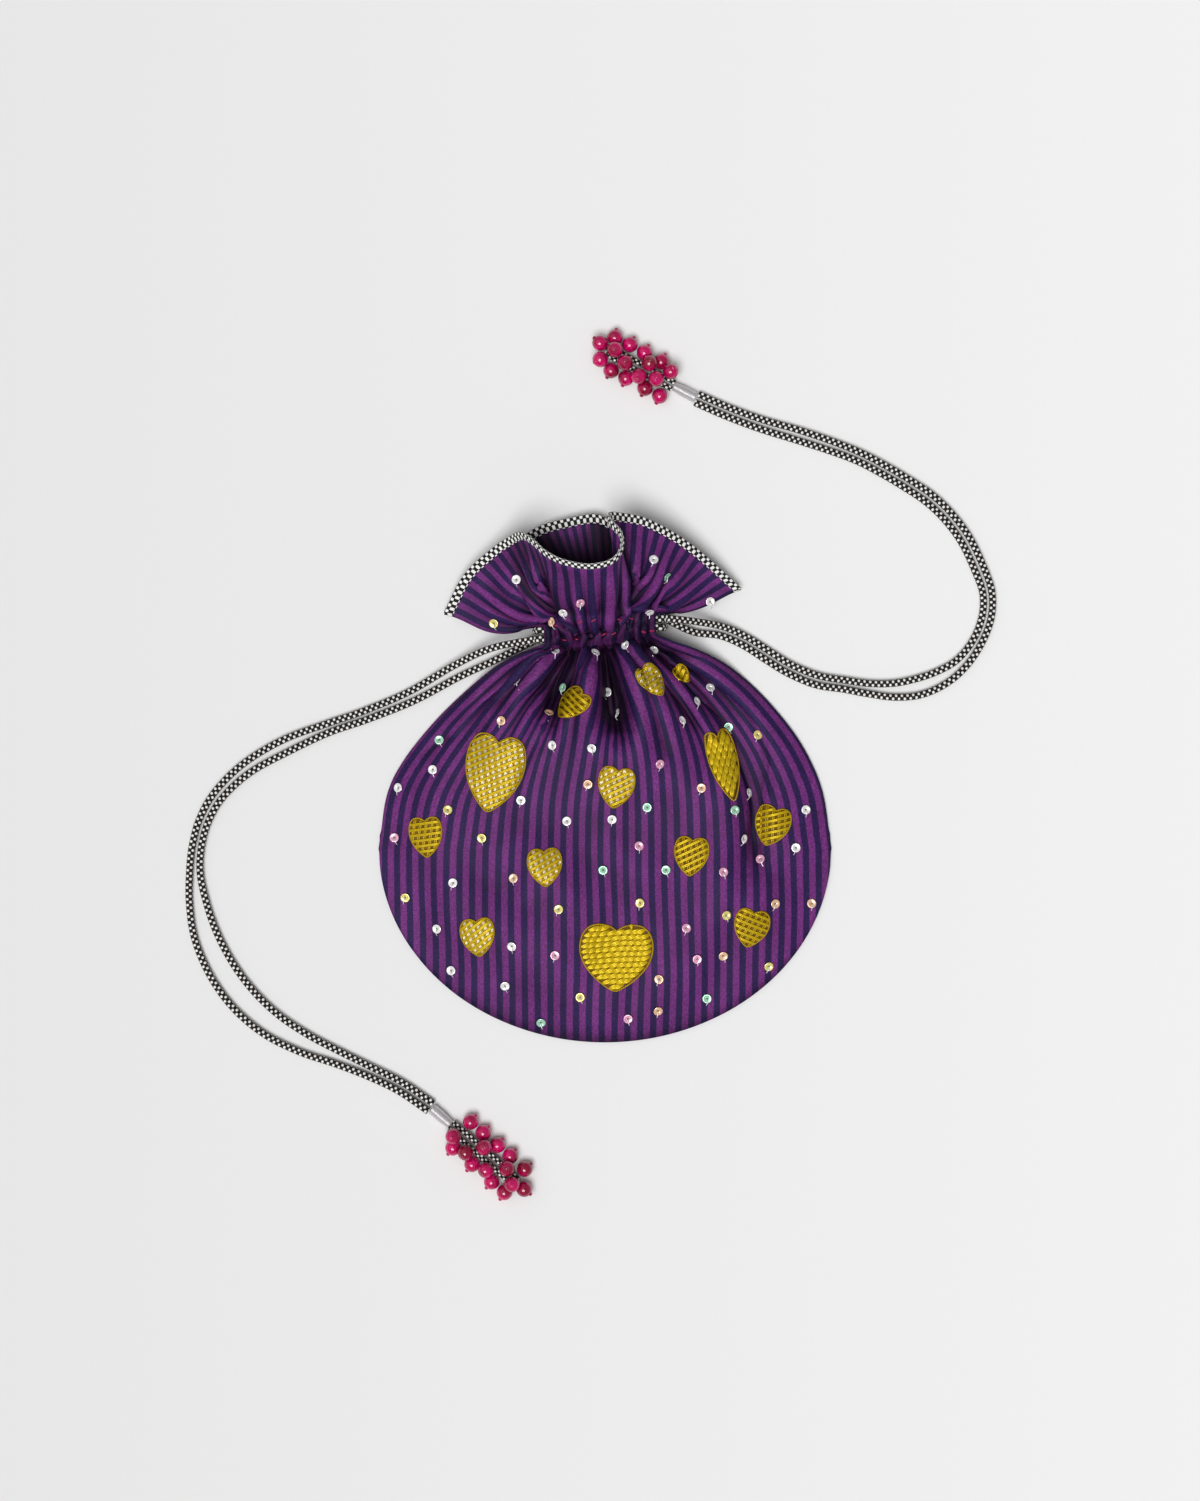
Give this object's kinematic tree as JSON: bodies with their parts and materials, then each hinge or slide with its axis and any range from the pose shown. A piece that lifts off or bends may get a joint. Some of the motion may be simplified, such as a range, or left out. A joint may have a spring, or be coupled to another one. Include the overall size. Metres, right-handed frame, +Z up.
{
  "type": "potli bag",
  "caption": "Round drawstring pouch of striped satin with a ruffled mouth, stitched hearts, sequins and beaded cords, lying on its back.",
  "frame": {"origin": "centre of the bag's footprint on the surface it lies on, cords and beads left out", "axes": "+Y from the round hem to the ruffled mouth, +X to the bag's right seen from above, +Z up out of the front panel"},
  "size_m": [0.4073, 0.4378, 0.0508],
  "materials": {
    "satin": "striped satin, soft sheen",
    "casing_cotton": "plain cotton",
    "checked_binding": "black and white checked bias tape",
    "woven_cord": "black and white woven cord",
    "silver_thread": "wound metallic thread",
    "gold_thread": "couched metallic thread",
    "bead": "glossy"
  },
  "bodies": {
    "root": {"front_panel": "satin", "back_panel": "satin", "front_casing": "casing_cotton", "back_casing": "casing_cotton", "front_binding": "checked_binding", "back_binding": "checked_binding", "left_drawstring": "woven_cord", "right_drawstring": "woven_cord", "left_bead_loop": "woven_cord", "right_bead_loop": "woven_cord", "left_wrap": "silver_thread", "right_wrap": "silver_thread", "heart_01": "gold_thread", "heart_02": "gold_thread", "heart_03": "gold_thread", "heart_04": "gold_thread", "heart_05": "gold_thread", "heart_06": "gold_thread", "heart_07": "gold_thread", "heart_08": "gold_thread", "heart_09": "gold_thread", "heart_10": "gold_thread", "heart_11": "gold_thread", "heart_12": "gold_thread", "heart_13": "gold_thread", "left_bead_01": "bead", "left_bead_02": "bead", "left_bead_03": "bead", "left_bead_04": "bead", "left_bead_05": "bead", "left_bead_06": "bead", "left_bead_07": "bead", "left_bead_08": "bead", "left_bead_09": "bead", "left_bead_10": "bead", "left_bead_11": "bead", "left_bead_12": "bead", "left_bead_13": "bead", "left_bead_14": "bead", "left_bead_15": "bead", "left_bead_16": "bead", "right_bead_01": "bead", "right_bead_02": "bead", "right_bead_03": "bead", "right_bead_04": "bead", "right_bead_05": "bead", "right_bead_06": "bead", "right_bead_07": "bead", "right_bead_08": "bead", "right_bead_09": "bead", "right_bead_10": "bead", "right_bead_11": "bead", "right_bead_12": "bead", "right_bead_13": "bead", "right_bead_14": "bead", "right_bead_15": "bead", "right_bead_16": "bead"}
  },
  "joints": []
}
